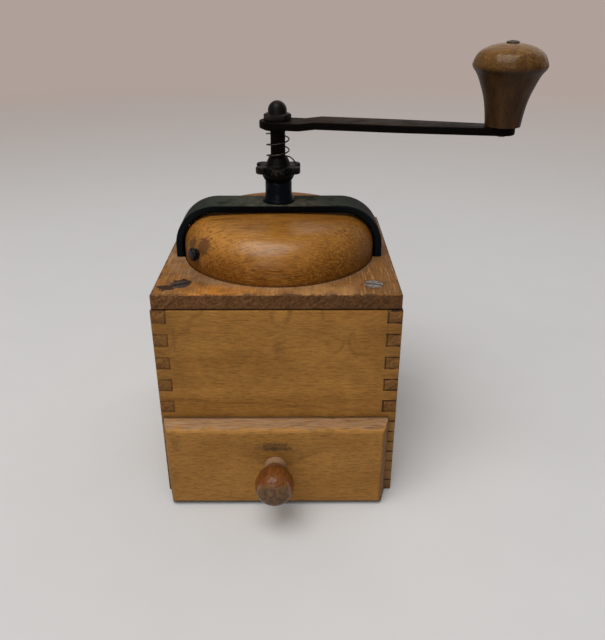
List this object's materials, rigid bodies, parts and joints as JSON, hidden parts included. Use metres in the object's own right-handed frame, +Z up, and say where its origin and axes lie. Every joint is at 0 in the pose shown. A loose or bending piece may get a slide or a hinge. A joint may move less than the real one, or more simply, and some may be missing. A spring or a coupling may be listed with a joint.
{
  "type": "hand crank coffee grinder",
  "caption": "Box coffee mill of finger-jointed wood: turned dome hopper under an iron bridge, crank that turns a burr cone, and a drawer that catches the grounds.",
  "frame": {"origin": "middle of the case's footprint, on the surface it stands on", "axes": "+Z up along the spindle, the drawer opens towards -Y, +X to the right seen from the drawer"},
  "size_m": [0.1749, 0.1496, 0.2138],
  "materials": {
    "case_wood": "varnished beech, satin",
    "plate_wood": "worn varnished beech",
    "dome_wood": "turned beech, worn varnish",
    "inner_wood": "bare beech",
    "knob_wood": "turned and varnished",
    "pull_wood": "turned and stained",
    "dark_knob": "stained dark",
    "bridge_paint": "worn dark enamel",
    "crank_paint": "worn dark enamel",
    "nut_paint": "worn dark enamel",
    "spindle_steel": "aged steel",
    "spring_steel": "aged wire",
    "screw_steel": "aged steel",
    "burr_iron": "rough cast",
    "bush_brass": "turned",
    "shield_tin": "dull tinplate"
  },
  "bodies": {
    "case": {"front_panel": "case_wood", "back_panel": "case_wood", "left_side_panel": "case_wood", "right_side_panel": "case_wood", "base_board": "inner_wood", "corner_blocks": "inner_wood", "top_plate": "plate_wood", "plate_screws": "screw_steel", "bridge_strap": "bridge_paint", "bridge_boss": "bridge_paint", "upper_bush": "bush_brass", "foot_screws": "screw_steel", "burr_housing": "burr_iron", "outer_burr": "burr_iron", "lower_bar": "burr_iron", "lower_bush": "bush_brass", "bar_screws": "screw_steel", "hopper_shield": "shield_tin", "shield_screws": "screw_steel"},
    "dome": {"hopper_dome": "dome_wood", "dome_knob": "dark_knob"},
    "crank": {"spindle": "spindle_steel", "inner_burr": "burr_iron", "burr_nut": "screw_steel", "crank_arm": "crank_paint", "cap_nut": "crank_paint", "lock_spring": "spring_steel", "knob_pin": "spindle_steel"},
    "adjusting_nut": {"adjusting_nut": "nut_paint"},
    "crank_knob": {"crank_knob": "knob_wood"},
    "drawer": {"drawer_front": "case_wood", "drawer_left_side": "inner_wood", "drawer_right_side": "inner_wood", "drawer_back": "inner_wood", "drawer_bottom": "inner_wood", "drawer_knob": "pull_wood", "drawer_knob_screw": "screw_steel"}
  },
  "joints": [
    {"name": "crank_turn", "type": "hinge", "parent": "case", "child": "crank", "pos_m": [0, 0, 0.15], "axis": [0, 0, 1], "continuous": true},
    {"name": "grind_adjust", "type": "hinge", "parent": "crank", "child": "adjusting_nut", "pos_m": [0, 0, 0.15], "axis": [0, 0, 1], "range_deg": [-180, 180]},
    {"name": "knob_spin", "type": "hinge", "parent": "crank", "child": "crank_knob", "pos_m": [0.10154, -0.02251, 0.195], "axis": [0, 0, 1], "continuous": true},
    {"name": "dome_turn", "type": "hinge", "parent": "case", "child": "dome", "pos_m": [0, 0, 0.12], "axis": [0, 0, 1], "range_deg": [-12, 128]},
    {"name": "drawer_slide", "type": "slide", "parent": "case", "child": "drawer", "axis": [0, -1, 0], "range_m": [0, 0.1]}
  ]
}
